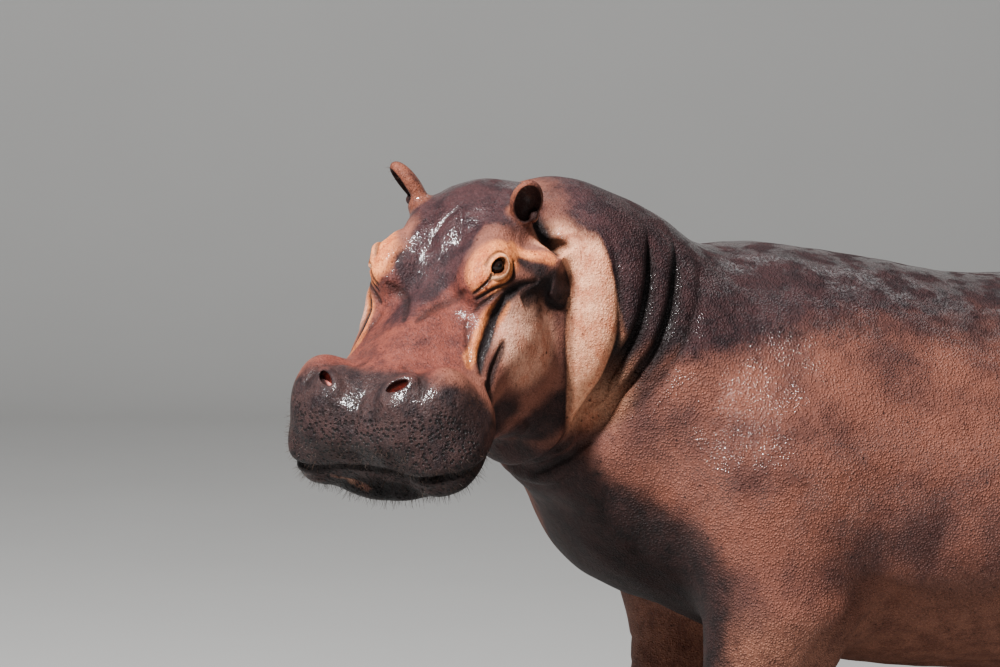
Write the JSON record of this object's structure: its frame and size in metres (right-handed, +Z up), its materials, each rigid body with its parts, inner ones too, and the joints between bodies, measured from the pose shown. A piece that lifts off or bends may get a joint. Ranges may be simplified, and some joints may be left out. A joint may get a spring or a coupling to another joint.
{
  "type": "hippopotamus",
  "caption": "Life-size model of a standing hippopotamus, head raised and turned to its left, with cupped ears, folded neck, barrel body and short stout legs.",
  "frame": {"origin": "centre of the part's box, at the level of its soles", "axes": "+X towards the tail, -X the way the body faces, -Y its left side, +Z up"},
  "size_m": [3.2606, 1.3156, 1.7241],
  "materials": {
    "hide": "wet, purple-brown above and pinkish tan below",
    "eye": "glossy, dark brown",
    "nail": "dull dark horn"
  },
  "bodies": {
    "root": {"ear_left": "hide", "ear_right": "hide", "eye_left": "eye", "eye_right": "eye", "head": "hide", "leg_front_left": "hide", "leg_front_right": "hide", "leg_hind_left": "hide", "leg_hind_right": "hide", "nail_front_left_1": "nail", "nail_front_left_2": "nail", "nail_front_left_3": "nail", "nail_front_left_4": "nail", "nail_front_right_1": "nail", "nail_front_right_2": "nail", "nail_front_right_3": "nail", "nail_front_right_4": "nail", "nail_hind_left_1": "nail", "nail_hind_left_2": "nail", "nail_hind_left_3": "nail", "nail_hind_left_4": "nail", "nail_hind_right_1": "nail", "nail_hind_right_2": "nail", "nail_hind_right_3": "nail", "nail_hind_right_4": "nail", "neck": "hide", "tail": "hide", "torso": "hide"}
  },
  "joints": []
}
